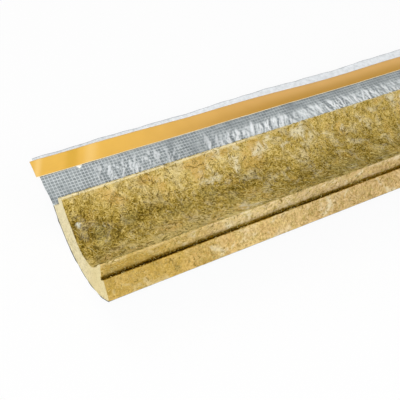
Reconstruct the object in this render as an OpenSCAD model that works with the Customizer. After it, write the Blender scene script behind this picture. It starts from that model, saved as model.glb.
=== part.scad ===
// Quarter segment of a mineral wool pipe section, faced with scrim reinforced foil.
// The segment lies on its round back, bore up, with its length along X.
// Millimetres, +Z up; the origin is on the floor, under the middle of the bounding box.

/* [Wool] */
// Length of the segment
length = 1000; // [300:10:1500]
// Bore, a little over the outside diameter of the pipe that it goes round
bore_d = 160; // [100:1:400]
// Thickness of the wool wall
wall = 50; // [40:1:100]
// Angle of the ring that one segment covers
span_deg = 90; // [70:1:120]
// How far the segment rolls towards its lap as it lies balanced on its back
lean_deg = 2.5; // [0:0.5:6]

/* [Stepped edges] */
// Depth of the inner strip of both edges, from the bore to the step
inner_strip = 18; // [12:1:26]
// How far the bore corner of the near edge stands out past the ring's end
corner_lead = 11; // [0:0.5:14]
// How far the groove of the near edge is cut in behind the ring's end
groove_cut = 3; // [1:0.5:6]
// Width of the groove
groove_w = 2; // [1:0.5:5]
// How far the top of the outer strip of the near edge stands out
shoulder_lead = 4; // [0:0.5:6]
// How far the inner tongue of the far edge stands out
tongue = 10; // [3:0.5:12]
// How much thinner the tongue is at its tip than at its root
tongue_draft = 1.5; // [0.5:0.5:3]

/* [Foil] */
// Thickness of the foil facing
foil_t = 0.5; // [0.3:0.1:1]
// Width of the closing lap, past the far edge of the wool
lap_w = 90; // [70:1:120]
// Radius at which the lap bends back
lap_bend_r = 10; // [5:1:20]
// Slope of the flat of the lap above the level
lap_slope = 9; // [0:1:25]

/* [Closing strip] */
// Width of the adhesive band
band_w = 25; // [15:1:30]
// Thickness of the adhesive band
band_t = 0.3; // [0.2:0.1:0.6]
// Distance from the band to the free edge of the lap
band_margin = 11; // [4:0.5:16]
// How far the release liner reaches past the band on each side
liner_side = 1; // [0:0.5:2]
// Thickness of the release liner
liner_t = 0.3; // [0.2:0.1:0.6]
// Length of liner that hangs past the near end, to pull it off by
liner_tab = 6; // [0:1:20]

/* [Hidden] */
$fn = 128;

bore_r = bore_d / 2;
wool_r = bore_r + wall;
// the turn from one flat of the foil's curves to the next, and the radii of the skin's corners,
// far enough out for its flats to touch the wool
fold_deg = 2;
skin_r = wool_r / cos(fold_deg / 2);
foil_r = skin_r + foil_t;
step_r = bore_r + inner_strip;
shoulder_r = step_r + groove_w;
// the ring's two ends, as angles from straight down, positive towards the far edge (+Y)
near_deg = -span_deg / 2 - lean_deg;
far_deg = span_deg / 2 - lean_deg;
// what a cutting outline runs on past the surface that it cuts
overrun = 5;

// A point of the profile: r out from the pipe's centre at angle a, then t on along the ring
function at(r, a, t = 0) = [r * sin(a) + t * cos(a), t * sin(a) - r * cos(a)];

// Near edge, bore side first: the corner leads, the inner strip slants back to the groove,
// and the outer strip starts at a shoulder and closes on the ring's end at the foil
strip_slope = (corner_lead + groove_cut) / inner_strip;
outer_slope = shoulder_lead / (wool_r - shoulder_r);
near_edge = [
    at(bore_r - overrun, near_deg, -corner_lead - strip_slope * overrun),
    at(step_r, near_deg, groove_cut),
    at(shoulder_r, near_deg, groove_cut),
    at(shoulder_r, near_deg, -shoulder_lead),
    at(2 * wool_r, near_deg, outer_slope * wool_r),
];
// Far edge, foil side first: the outer strip, its step, and the tongue
far_edge = [
    at(2 * wool_r, far_deg),
    at(step_r, far_deg),
    at(step_r - tongue_draft, far_deg, tongue),
    at(bore_r - overrun, far_deg, tongue),
];

// The lap leaves the far edge along the ring's tangent, bends back and runs on flat
lap_turn = far_deg - lap_slope;
lap_flat = lap_w - lap_bend_r * lap_turn * PI / 180;
bend_centre = at(foil_r + lap_bend_r, far_deg);
lap_run = lap_flat * [cos(lap_slope), sin(lap_slope)];

// Points round an arc in even steps, from the one with the number first
function arc(centre, r, from, to, first = 0) =
    let (steps = ceil(abs(to - from) / fold_deg))
    [for (i = [first:steps]) centre + at(r, from + i * (to - from) / steps)];

// The sheet's outline: its outer face from the near edge to the free edge of the lap, then back
foil_outline = concat(
    arc([0, 0], foil_r, near_deg, far_deg),
    arc(bend_centre, lap_bend_r, 180 + far_deg, 180 + lap_slope, 1),
    [bend_centre + at(lap_bend_r, 180 + lap_slope) + lap_run],
    [bend_centre + at(lap_bend_r + foil_t, 180 + lap_slope) + lap_run],
    arc(bend_centre, lap_bend_r + foil_t, 180 + lap_slope, 180 + far_deg),
    arc([0, 0], skin_r, far_deg, near_deg, 1)
);
band_u = lap_flat - band_margin - band_w;
liner_u = band_u - liner_side;
liner_w = band_w + 2 * liner_side;

// The bounding box: the near edge's furthest corner, and the lap's free edge
near_corners = [
    at(foil_r, near_deg),
    at(shoulder_r, near_deg, -shoulder_lead),
    at(bore_r, near_deg, -corner_lead),
];
near_reach = min([for (corner = near_corners) corner.x]);
lap_reach = bend_centre.x + lap_flat * cos(lap_slope) - lap_bend_r * sin(lap_slope);
middle_y = (near_reach + lap_reach) / 2;
near_x = (liner_tab - length) / 2;

// Lays what is drawn in X and Y, and raised along Z, into the frame: its Z becomes the length
module lay_down(from_x) {
    translate([from_x, -middle_y, foil_r]) rotate([90, 0, 90]) children();
}

// A strip along the flat of the lap: u out from the bend, h up from the lap's upper face
module lap_strip(u, width, h, thick, strip_length) {
    translate(bend_centre) rotate(lap_slope) translate([u, lap_bend_r + foil_t + h, 0])
        cube([width, thick, strip_length]);
}

module wool_segment() {
    color("#b59a55") lay_down(near_x) intersection() {
        difference() {
            cylinder(r = wool_r, h = length);
            translate([0, 0, -1]) cylinder(r = bore_r, h = length + 2);
        }
        linear_extrude(length) polygon(concat(near_edge, far_edge));
    }
}

// One sheet: the skin on the wool's back, and the lap that runs on past the far edge
module foil_facing() {
    color("#a9adb0") lay_down(near_x) linear_extrude(length) polygon(foil_outline);
}

module adhesive_band() {
    color("#d8cf9a") lay_down(near_x) lap_strip(band_u, band_w, 0, band_t, length);
}

module release_liner() {
    color("#dfa146") lay_down(near_x - liner_tab)
        lap_strip(liner_u, liner_w, band_t, liner_t, length + liner_tab);
}

wool_segment();
foil_facing();
adhesive_band();
release_liner();
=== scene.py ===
"""Visual model of a quarter segment of mineral wool pipe section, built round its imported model.

The wool, its loose fibres, the foil facing with its closing lap, the adhesive band and the
release liner are each a surface of two parameters, worked out as whole arrays. Lengths are in
metres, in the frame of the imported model: X along the segment, Y across it towards the lap,
Z up, the floor at zero.
"""
import logging
import math
from collections.abc import Mapping, Sequence
from dataclasses import dataclass
from enum import Enum
from typing import Any

import bpy
import numpy as np
from mathutils import Matrix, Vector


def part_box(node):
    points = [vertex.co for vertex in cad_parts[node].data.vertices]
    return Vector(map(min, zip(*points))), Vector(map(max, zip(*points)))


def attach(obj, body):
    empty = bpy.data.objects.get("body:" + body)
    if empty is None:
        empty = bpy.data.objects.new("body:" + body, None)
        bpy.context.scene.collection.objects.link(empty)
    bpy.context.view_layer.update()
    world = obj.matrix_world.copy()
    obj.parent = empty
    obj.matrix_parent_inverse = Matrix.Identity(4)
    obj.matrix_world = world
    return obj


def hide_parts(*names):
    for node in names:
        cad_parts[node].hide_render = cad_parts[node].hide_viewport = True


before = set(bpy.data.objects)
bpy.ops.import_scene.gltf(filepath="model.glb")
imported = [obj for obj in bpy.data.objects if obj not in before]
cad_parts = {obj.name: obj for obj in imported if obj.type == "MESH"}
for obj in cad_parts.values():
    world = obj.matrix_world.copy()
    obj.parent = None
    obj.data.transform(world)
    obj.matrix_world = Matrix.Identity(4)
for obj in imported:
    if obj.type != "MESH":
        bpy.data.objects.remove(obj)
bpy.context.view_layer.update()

Array = np.ndarray
Pair = tuple[float, float]
Colour = Place = tuple[float, float, float]
MM = 0.001
BODY = "root"
FLAT_MAP = "flat"
BAKE_MAP = "OFBake"
WHITE: Colour = (1.0, 1.0, 1.0)
# The rays that see the backdrop: the camera's own, and what metal and glass show.
RAYS = ("Camera", "Glossy", "Transmission")
# Points of the wool closer together than WELD become one; a length under TINY is none.
WELD = 1e-7
TINY = 1e-12
# Noise mixes the low 32 bits of a number with these primes.
WORD = 0xFFFFFFFF
PRIMES = (374761393, 668265263, 2246822519, 3266489917)

logging.basicConfig(level=logging.INFO, format="%(message)s")
log = logging.getLogger("pipe_section")


# --------------------------------------------------------------------------- numbers and noise


def smoothstep(low: float, high: float, value: Array) -> Array:
    """The curve 3t^2 - 2t^3 of t, the share of the way from low to high, held to 0 and 1."""
    share = np.clip((value - low) / (high - low), 0.0, 1.0)
    return share * share * (3.0 - 2.0 * share)


def hill(middle: float, width: float, value: Array) -> Array:
    """1 in the middle and, around it, e to the minus square of the distance over the width."""
    return np.exp(-(((value - middle) / width) ** 2))


def unit(vectors: Array) -> Array:
    """Vectors with their lengths made 1."""
    return vectors / np.maximum(np.linalg.norm(vectors, axis=-1, keepdims=True), TINY)


def stacked(*parts: Array | float) -> Array:
    """Coordinates brought to one shape and put together along a new last axis."""
    return np.stack(np.broadcast_arrays(*parts), axis=-1)


def lattice_values(cell: Array, seed: int) -> Array:
    """A number from -1 to 1 for each whole-numbered lattice point, from mixing its bits.

    Args:
        cell: Whole numbers, shape (..., 3).
        seed: Another seed gives another field.

    Returns:
        Numbers, shape (...).
    """
    part = cell.astype(np.int64) & WORD
    mixed = (sum(part[..., i] * PRIMES[i] for i in range(3)) + seed * PRIMES[3]) & WORD
    mixed = ((mixed ^ (mixed >> 15)) * PRIMES[2]) & WORD
    mixed = ((mixed ^ (mixed >> 13)) * PRIMES[3]) & WORD
    return (mixed ^ (mixed >> 16)) / (WORD / 2) - 1.0


def blobs(place: Array, size: float | Sequence[float], seed: int, layers: int = 1) -> Array:
    """Smooth noise, mostly from -1 to 1: lattice values blended with 3t^2 - 2t^3 along each axis.

    Args:
        place: Points, shape (..., 3).
        size: Size of one lattice cell, or one size for each axis.
        seed: Another seed gives another field.
        layers: Each further layer is half the size and six tenths the height of the last.

    Returns:
        Numbers, shape (...).
    """
    total = np.zeros(place.shape[:-1])
    for layer in range(layers):
        scaled = place / (np.asarray(size, float) / 2**layer)
        low = np.floor(scaled)
        share = smoothstep(0.0, 1.0, scaled - low)
        total += 0.6**layer * sum(
            np.prod(np.where(corner, share, 1.0 - share), axis=-1)
            * lattice_values(low + corner, seed + layer)
            for corner in np.ndindex(2, 2, 2)
        )
    return total


# --------------------------------------------------------------------------- meshes


class Cut(Enum):
    """How a stretch of surface was made, which its colours follow."""

    PLAIN = "plain"
    LONG_EDGE = "long_edge"
    END = "end"
    BACK = "back"


@dataclass
class Shell:
    """Patches of surface."""

    points: Array  # Shape (n, 3), for all of them
    faces: list[Array]  # For each patch, rows of point numbers, facing outwards
    corners: list[Array]  # For each patch, where its face corners lie when it is laid flat
    cuts: list[Cut]  # For each patch, how it was made

    @classmethod
    def of(cls, points: Array, flat: Array, *faces: Array, cut: Cut = Cut.PLAIN) -> "Shell":
        """Patches that lie on one list of points, with each point's place on the flat map."""
        return cls(points, [*faces], [flat[part] for part in faces], [cut] * len(faces))

    @classmethod
    def grid(cls, points: Array, flat: Array, turned: bool, cut: Cut = Cut.PLAIN) -> "Shell":
        """One patch from a grid of points, with a four-cornered face in each of its cells.

        Args:
            points: Shape (rows, columns, 3).
            flat: Shape (rows, columns, 2).
            turned: Faces the other way.
            cut: How it was made.

        Returns:
            The patch.
        """
        rows, columns = flat.shape[:2]
        first = (np.arange(rows - 1)[:, None] * columns + np.arange(columns - 1)).ravel()
        faces = np.stack([first, first + 1, first + columns + 1, first + columns], axis=1)
        faces = faces[:, :: -1 if turned else 1]
        return cls.of(points.reshape(-1, 3), flat.reshape(-1, 2), faces, cut=cut)

    @classmethod
    def welded(cls, parts: Sequence["Shell"]) -> "Shell":
        """Joins shells: points less than the weld's width apart become one.

        Args:
            parts: The shells, in the order that their faces keep.

        Returns:
            The shell.
        """
        every = np.concatenate([part.points for part in parts])
        keys = np.round(every / WELD).astype(np.int64)
        _, first, back = np.unique(keys, axis=0, return_index=True, return_inverse=True)
        starts = np.cumsum([0] + [len(part.points) for part in parts])
        whole = cls(every[first], [], [], [])
        for part, start in zip(parts, starts):
            whole.faces += [back.reshape(-1)[faces + start] for faces in part.faces]
            whole.corners += part.corners
            whole.cuts += part.cuts
        return whole

    def normals(self) -> Array:
        """The unit normal of each point: the sum of its faces' normals, by their area.

        Returns:
            Shape (n, 3).
        """
        total = np.zeros_like(self.points)
        for faces in self.faces:
            a, b, c, d = (self.points[faces[:, i]] for i in (0, 1, 2, -1))
            normal = np.cross(c - a, d - b)
            for corner in faces.T:
                np.add.at(total, corner, normal)
        return unit(total)

    def corner_places(self) -> Array:
        """The flat place of every face corner, in the order of the faces."""
        return np.concatenate([part.reshape(-1, 2) for part in self.corners])


def add_object(name: str, data: bpy.types.ID, *axes: Sequence[float]) -> bpy.types.Object:
    """Adds an object to the scene.

    Args:
        name: Its name.
        data: Its mesh, lamp or camera.
        *axes: The directions of its X, Y and Z, and its place, where it isn't at the origin.

    Returns:
        The object.
    """
    made = bpy.data.objects.new(name, data)
    bpy.context.scene.collection.objects.link(made)
    if axes:
        made.matrix_world = Matrix([*np.transpose(axes).tolist(), [0.0, 0.0, 0.0, 1.0]])
    return made


@dataclass(frozen=True)
class Dress:
    """What a piece is given besides its shape."""

    material: bpy.types.Material
    slot: str  # The record's material slot
    node: str = ""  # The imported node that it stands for, if there is one
    sharp: float = 0.0  # The angle between two faces past which their edge is sharp, in degrees


def make_piece(
    name: str, shell: Shell, bake: Array, numbers: Mapping[str, Array], dress: Dress
) -> bpy.types.Object:
    """A finished piece, smooth shaded, riding on the body.

    Args:
        name: The piece's name.
        shell: Its points and faces.
        bake: The place of each face corner on the map that textures are kept on, from 0 to 1.
        numbers: What its material reads from it: one number for each point under each name.
        dress: Its material and node; its slot is not used.

    Returns:
        The object, linked to the scene.
    """
    mesh = bpy.data.meshes.new(name)
    mesh.from_pydata(shell.points.tolist(), [], [row for part in shell.faces for row in part.tolist()])
    for label, place in ((FLAT_MAP, shell.corner_places()), (BAKE_MAP, bake)):
        layer = mesh.uv_layers.new(name=label, do_init=False)
        layer.uv.foreach_set("vector", place.astype(np.float32).ravel())
    mesh.uv_layers.active = mesh.uv_layers[FLAT_MAP]
    cuts = np.repeat([cut.value for cut in shell.cuts], [len(part) for part in shell.faces])
    marks = {kind.value: cuts == kind.value for kind in (Cut.LONG_EDGE, Cut.END)}
    for domain, table in (("FACE", marks), ("POINT", numbers)):
        for label, values in table.items():
            attribute = mesh.attributes.new(label, "FLOAT", domain)
            attribute.data.foreach_set("value", values.astype(np.float32))
    mesh.shade_smooth()
    if dress.sharp:
        mesh.set_sharp_from_angle(angle=math.radians(dress.sharp))
    mesh.materials.append(dress.material)
    piece = add_object(name, mesh)
    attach(piece, BODY)
    if dress.node:
        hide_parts(dress.node)
    return piece


def make_sheet(
    name: str, grid: tuple[Array, Array], thickness: float, numbers: Mapping[str, Array], dress: Dress
) -> bpy.types.Object:
    """A thin sheet from a grid, thickened behind its faces; its flat map fills the baked one.

    Args:
        name: The piece's name.
        grid: Its points and its flat map, shapes (rows, columns, 3) and (rows, columns, 2).
        thickness: Its thickness.
        numbers: What its material reads from it.
        dress: Its material and node; its slot is not used.

    Returns:
        The object, linked to the scene.
    """
    shell = Shell.grid(*grid, True)
    place = shell.corner_places()
    low, high = place.min(0), place.max(0)
    piece = make_piece(name, shell, 0.003 + 0.994 * (place - low) / (high - low), numbers, dress)
    solid = piece.modifiers.new("thickness", "SOLIDIFY")
    solid.thickness, solid.offset = thickness, -1.0
    return piece


# --------------------------------------------------------------------------- shaders


class Number:
    """A value in a shader: arithmetic on it adds Math nodes, and numbers stay numbers."""

    def __init__(self, shader: "Shader", socket: bpy.types.NodeSocket) -> None:
        """Wraps a socket of a shader."""
        self.shader, self.socket = shader, socket

    def math(self, operation: str, *terms: "Term") -> "Number":
        """Puts this value and others through one Math node."""
        return self.shader.node("Math", {"operation": operation}, dict(enumerate((self, *terms))))

    def __add__(self, other: "Term") -> "Number":
        """The sum."""
        return self.math("ADD", other)

    __radd__ = __add__

    def __sub__(self, other: "Term") -> "Number":
        """The difference."""
        return self.math("SUBTRACT", other)

    def __rsub__(self, other: float) -> "Number":
        """A number less this value."""
        return self.shader.node("Math", {"operation": "SUBTRACT"}, {0: other, 1: self})

    def __mul__(self, other: "Term") -> "Number":
        """The product."""
        return self.math("MULTIPLY", other)

    __rmul__ = __mul__

    def highest(self, other: "Term") -> "Number":
        """The higher of two values."""
        return self.math("MAXIMUM", other)

    def lowest(self, other: "Term") -> "Number":
        """The lower of two values."""
        return self.math("MINIMUM", other)

    def smooth(self, zero: float, one: float) -> "Number":
        """3t^2 - 2t^3 of t, the share of the way from zero to one, which may be the lower.

        Args:
            zero: Where the result leaves 0.
            one: Where it reaches 1.

        Returns:
            The result, from 0 to 1.
        """
        low, high = sorted((zero, one))
        sockets = {"Value": self, "From Min": low, "From Max": high}
        sockets |= {"To Min": float(zero > one), "To Max": float(zero < one)}
        return self.shader.node("MapRange", {"interpolation_type": "SMOOTHSTEP"}, sockets)


Term = Number | float


class Shader:
    """A material, or the world, under construction: one surface and what feeds it."""

    def __init__(self, name: str, kind: str = "Material") -> None:
        """Starts an empty one.

        Args:
            name: Its name.
            kind: Material or World.
        """
        self.kind = kind
        self.owner = getattr(bpy.data, kind.lower() + "s").new(name)
        self.owner.use_nodes = True
        self.tree = self.owner.node_tree
        self.tree.nodes.clear()

    def node(
        self,
        kind: str,
        settings: Mapping[str, Any] | None = None,
        sockets: Mapping[str | int, Any] | None = None,
        output: str | int = 0,
    ) -> Number:
        """Adds any node.

        Args:
            kind: The node's type, without ShaderNode.
            settings: Its properties, set first; stops are a ramp's places and colours.
            sockets: Values or links for its inputs, by name or number.
            output: The output that is wanted.

        Returns:
            The output, wrapped.
        """
        node = self.tree.nodes.new("ShaderNode" + kind)
        for key, value in (settings or {}).items():
            if key != "stops":
                setattr(node, key, value)
                continue
            stops = node.color_ramp.elements
            while len(stops) < len(value):
                stops.new(1.0)
            for stop, (place, colour) in zip(stops, value):
                stop.position, stop.color = place, (*colour, 1.0)
        for key, value in (sockets or {}).items():
            socket = node.inputs[key]
            if isinstance(value, Number):
                self.tree.links.new(value.socket, socket)
            else:
                socket.default_value = (*value, 1.0) if socket.type == "RGBA" else value
        return Number(self, node.outputs[output])

    def flat_map(self) -> Number:
        """Where a point lies on the piece laid flat, in metres."""
        return self.node("UVMap", {"uv_map": FLAT_MAP})

    def place(self) -> Number:
        """Where a point is in the frame, in metres."""
        return self.node("TexCoord", output="Object")

    def axis(self, place: Number, number: int) -> Number:
        """One coordinate of a place."""
        return self.node("SeparateXYZ", sockets={0: place}, output=number)

    def stored(self, name: str) -> Number:
        """A number that the mesh stores."""
        return self.node("Attribute", {"attribute_name": name}, output="Fac")

    def noise(
        self,
        where: Number,
        size: float,
        detail: float = 2.0,
        rough: float = 0.5,
        bend: float = 0.0,
        ways: int = 3,
    ) -> Number:
        """Cloudy noise, about 0.5 on average.

        Args:
            where: The coordinates, in metres.
            size: Size of its blobs, in metres.
            detail: Layers of finer noise.
            rough: How strong the finer layers are.
            bend: How far it is distorted.
            ways: How many coordinates it reads.

        Returns:
            The noise.
        """
        sockets = {"Scale": 1.0 / size, "Detail": detail, "Roughness": rough, "Distortion": bend}
        return self.node("TexNoise", {"noise_dimensions": f"{ways}D"}, {"Vector": where, **sockets})

    def streaks(
        self,
        flat: Number,
        angle: float,
        size: Pair,
        shift: float,
        detail: float,
        bend: float,
    ) -> Number:
        """Noise stretched along an angle on the flat map.

        Args:
            flat: The flat map's coordinates.
            angle: The angle that it runs at, in radians.
            size: Its length and width, in metres.
            shift: How far it is moved, so that layers differ.
            detail: Layers of finer noise.
            bend: How far it is distorted.

        Returns:
            The noise.
        """
        sockets = {"Location": (shift, 0.37 * shift, 0.0), "Rotation": (0.0, 0.0, angle)}
        sockets |= {"Vector": flat, "Scale": (*size, 1.0)}
        turned = self.node("Mapping", {"vector_type": "TEXTURE"}, sockets)
        return self.noise(turned, 1.0, detail, bend=bend, ways=2)

    def wandering(self, where: Number, size: float, reach: float) -> Number:
        """Coordinates pushed about by noise.

        Args:
            where: The coordinates.
            size: Size of the noise's blobs.
            reach: Twice the furthest that it pushes.

        Returns:
            The pushed coordinates.
        """
        cloud = {"Vector": where, "Scale": 1.0 / size, "Detail": 1.0}
        pushed = self.node("TexNoise", {"noise_dimensions": "3D"}, cloud, output=1)
        for operation, socket, value in (("SUBTRACT", 1, (0.5, 0.5, 0.5)), ("SCALE", "Scale", reach)):
            pushed = self.node("VectorMath", {"operation": operation}, {0: pushed, socket: value})
        return self.node("VectorMath", {"operation": "ADD"}, {0: where, 1: pushed})

    def ramp(self, value: Number, *stops: tuple[float, Colour]) -> Number:
        """Colours by value."""
        return self.node("ValToRGB", {"stops": stops}, {"Fac": value})

    def painted(self, colour: Number | Colour, *coats: Sequence[Any]) -> Number:
        """A colour with coats over it.

        Args:
            colour: The colour to start from.
            *coats: From the lowest up, how much of each shows and its colour, then the kind of
                mix where it isn't plain.

        Returns:
            The colour.
        """
        for share, coat, *blend in coats:
            settings = {"data_type": "RGBA", "blend_type": blend[0] if blend else "MIX"}
            colour = self.node("Mix", settings, {0: share, 6: colour, 7: coat}, output=2)
        return colour

    def surface(
        self, relief: tuple[Number, float, float] | None = None, **sockets: Any
    ) -> bpy.types.Material:
        """Ends the material with a Principled surface.

        Args:
            relief: Heights from 0 to 1, how far they reach in metres and how strong they are.
            **sockets: What its sockets get, with _ for a space.

        Returns:
            The material.
        """
        named = {key.replace("_", " "): value for key, value in sockets.items()}
        if relief:
            bump = dict(zip(("Height", "Distance", "Strength"), relief))
            named["Normal"] = self.node("Bump", sockets=bump)
        return self.ended(self.node("BsdfPrincipled", sockets=named))

    def ended(self, surface: Number) -> bpy.types.Material | bpy.types.World:
        """Joins a surface to the output node.

        Args:
            surface: The surface.

        Returns:
            The material or the world.
        """
        output = self.tree.nodes.new("ShaderNodeOutput" + self.kind)
        self.tree.links.new(surface.socket, output.inputs["Surface"])
        return self.owner

    def seen(self) -> Number:
        """1 for rays from the camera, and for what metal and glass show."""
        camera, *others = (self.node("LightPath", output=f"Is {kind} Ray") for kind in RAYS)
        return camera.highest(others[0]).highest(others[1])


@dataclass(frozen=True)
class WoolFinish:
    """Felted stone wool, in straw, ochre and olive brown."""

    crevice: Colour = (0.085, 0.050, 0.002)  # Colour between the fibres: painted shade deep in the pile; also of the dark specks
    olive: Colour = (0.258, 0.176, 0.021)  # Colour of the lower fibres
    ochre: Colour = (0.525, 0.368, 0.078)  # Colour of most fibres
    straw: Colour = (0.83, 0.66, 0.262)  # Colour of the fibres on top
    warm: Colour = (0.66, 0.38, 0.095)  # What the colour tends to in its reddish clouds
    cool: Colour = (0.42, 0.40, 0.17)  # What it tends to in its greenish grey ones
    binder: Colour = (0.82, 0.74, 0.50)  # Colour of the pale patches and swirls
    edge: Colour = (0.80, 0.565, 0.265)  # What the colour of the cut long edges tends to
    russet: Colour = (0.38, 0.225, 0.060)  # Colour of fine specks on the long edges
    dun: Colour = (0.50, 0.36, 0.215)  # What the long edges tend to along their far part
    end: Colour = (0.98, 0.87, 0.56)  # What the colour of the sawn ends tends to
    husk: Colour = (0.56, 0.47, 0.19)  # Colour of the blotches on the sawn ends and the far edge
    gilt: Colour = (0.58, 0.37, 0.040)  # What the long edges tend to near the end with the tab
    stain: Colour = (0.40, 0.30, 0.025)  # Painted shade that darkens the wool beside the groove
    pit: Colour = (0.034, 0.018, 0.0003)  # Colour of the painted shadow deep in the groove
    scurf: Colour = (0.82, 0.83, 0.70)  # Colour of a pale grey spot near the end
    frost: Place = (-0.4865, -0.0135, 0.0550)  # Where that spot is
    strand: Pair = (0.0090, 0.0016)  # Length and width of the bundles of fibres

    def tangle(self, shader: Shader) -> Number:
        """Bundles of fibres at four angles, the highest on top, on coordinates that wander.

        Args:
            shader: The material's shader.

        Returns:
            How high the bundles lie.
        """
        bent = shader.wandering(shader.flat_map(), 0.014, 0.012)
        layers = [
            shader.streaks(bent, angle, self.strand, 0.31 * turn, 1.0, 0.0)
            for turn, angle in enumerate((0.3, 1.15, 1.95, 2.75))
        ]
        return layers[0].highest(layers[1]).highest(layers[2].highest(layers[3]))

    def swirls(self, shader: Shader, place: Number) -> Number:
        """Thin curved lines, where cloudy noise passes through its middle, in some places only.

        Args:
            shader: The material's shader.
            place: Where a point is.

        Returns:
            1 on the lines.
        """
        clouds = shader.noise(place, 0.021, 1.0, bend=1.2)
        line = (clouds - 0.5).math("ABSOLUTE").smooth(0.020, 0.004)
        return line * shader.noise(place, 0.045, 1.0).smooth(0.50, 0.62)

    def material(self) -> bpy.types.Material:
        """The wool's material: a colour by the height of its pile, with coats over it.

        Returns:
            The material.
        """
        shader = Shader("mineral_wool")
        place = shader.place()
        along, across = shader.axis(place, 0), shader.axis(place, 1)
        names = ("end", "long_edge", "hollow", "shade", "lip")
        end, long_edge, hollow, shade, lip = (shader.stored(name) for name in names)
        tangle = self.tangle(shader)
        crumb = shader.noise(place, 0.0020, rough=0.6)
        cloud = shader.noise(place, 0.060)
        mottle = shader.noise(place, 0.017, 3.0, 0.6, 0.6)
        pile = tangle + (crumb - 0.5) * 0.6 + (mottle - 0.5) * 0.38 + (cloud - 0.5) * 0.28
        # The stored shade shifts the pile: painted light and shade over the bore and the near edge.
        pile = pile + shade * 0.22 + 0.010
        # Clouds, pale binder, one pale spot and dark specks.
        warm = shader.noise(place, 0.034).smooth(0.50, 0.66) * (0.16 + shade.smooth(-0.1, 0.6) * 0.3)
        cool = shader.noise(place, 0.040).smooth(0.50, 0.64) * shade.smooth(0.2, -0.5)
        patches = shader.noise(place, 0.026, 3.0, 0.62, 0.5)
        pale = patches.smooth(0.48, 0.68) * (0.45 + tangle.smooth(0.44, 0.60) * 0.55)
        pale = pale * (0.25 + along.smooth(-0.36, -0.24) * (0.15 + shade.smooth(-0.1, 0.4) * 0.5))
        ends = {0: place, 1: self.frost}
        away = shader.node("VectorMath", {"operation": "DISTANCE"}, ends, output=1)
        frosted = (away + (0.5 - mottle) * 0.015).smooth(0.0070, 0.0035) * (1.0 - end)
        specks = shader.noise(place, 0.0034, 1.0).smooth(0.35, 0.28) * (1.0 - end)
        fewer = long_edge * 0.25 + shade.smooth(0.2, 0.7) * 0.4
        # The cut edges and the sawn ends.
        later = along.smooth(-0.30, -0.10)
        cloudy = long_edge * (0.26 + later * 0.20 + mottle.smooth(0.35, 0.65) * 0.34)
        grit = shader.noise(place, 0.0036, rough=0.7).smooth(0.54, 0.38)
        chalky = shader.noise(place, 0.030, 2.0, 0.6, 0.8).smooth(0.56, 0.70) * long_edge
        tongue = across.smooth(0.0, 0.01)
        sawn = end * (0.95 - (1.0 - pile.smooth(0.42, 0.62)) * 0.30)
        blotches = shader.noise(place, 0.011, 4.0, 0.68, 0.4).smooth(0.50, 0.66)
        cut = (end * (1.0 - tongue * 0.7)).highest(tongue * long_edge)
        # Painted shade and shadow of the groove, with a ragged upper side.
        ragged = hollow + (tangle - 0.58) * 1.5 * hollow.smooth(0.0, 0.3)
        # The ramp over the pile's height is partly the fibres' own tones and partly painted shade:
        # darker deep between the fibres, paler on top.
        stops = ((0.40, self.crevice), (0.53, self.olive), (0.68, self.ochre), (0.92, self.straw))
        colour = shader.painted(
            shader.ramp(pile, *stops),
            (warm, self.warm),
            (cool * 0.25, self.cool),
            (pale.highest(self.swirls(shader, place) * 0.35), self.binder),
            (frosted * 0.8, self.scurf),
            (specks * (0.85 - fewer).highest(0.0), self.crevice),
            (cloudy, self.edge),
            (later * long_edge * 0.24, self.dun),
            (grit * long_edge * 0.6, self.russet),
            (chalky * 0.6, self.binder),
            (long_edge * along.smooth(-0.30, -0.42) * 0.45, self.gilt),
            (tongue * long_edge * 0.9, self.end),
            (sawn, self.end),
            (blotches * cut * 0.42, self.husk),
            (crumb.smooth(0.40, 0.28) * cut * 0.5, self.olive),
            (across.smooth(-0.05, -0.09) * end * 0.4, self.straw),
            # Painted highlight along the corners and on the inner strip.
            ((lip * 0.5).lowest(0.8), self.end),
            (ragged.smooth(0.02, 0.50), self.stain, "MULTIPLY"),
            (ragged.smooth(0.60, 0.95) * 0.95, self.pit),
        )
        relief = (tangle * (1.0 - end * 0.7) + crumb * 0.4, 2.2 * MM, 0.9)
        return shader.surface(relief, Base_Color=colour, Roughness=0.95, Specular_IOR_Level=0.05)


@dataclass(frozen=True)
class FibreFinish:
    """Loose fibres and tufts, from dark olive to pale straw."""

    dark: Colour = (0.11, 0.075, 0.008)
    middle: Colour = (0.42, 0.300, 0.060)
    light: Colour = (0.78, 0.65, 0.27)

    def material(self) -> bpy.types.Material:
        """The fibres' material: a colour by the tone that each fibre stores.

        Returns:
            The material.
        """
        shader = Shader("loose_fibre")
        stops = ((0.0, self.dark), (0.45, self.middle), (1.0, self.light))
        colour = shader.ramp(shader.stored("tone"), *stops)
        return shader.surface(Base_Color=colour, Roughness=0.85, Specular_IOR_Level=0.1)


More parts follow.
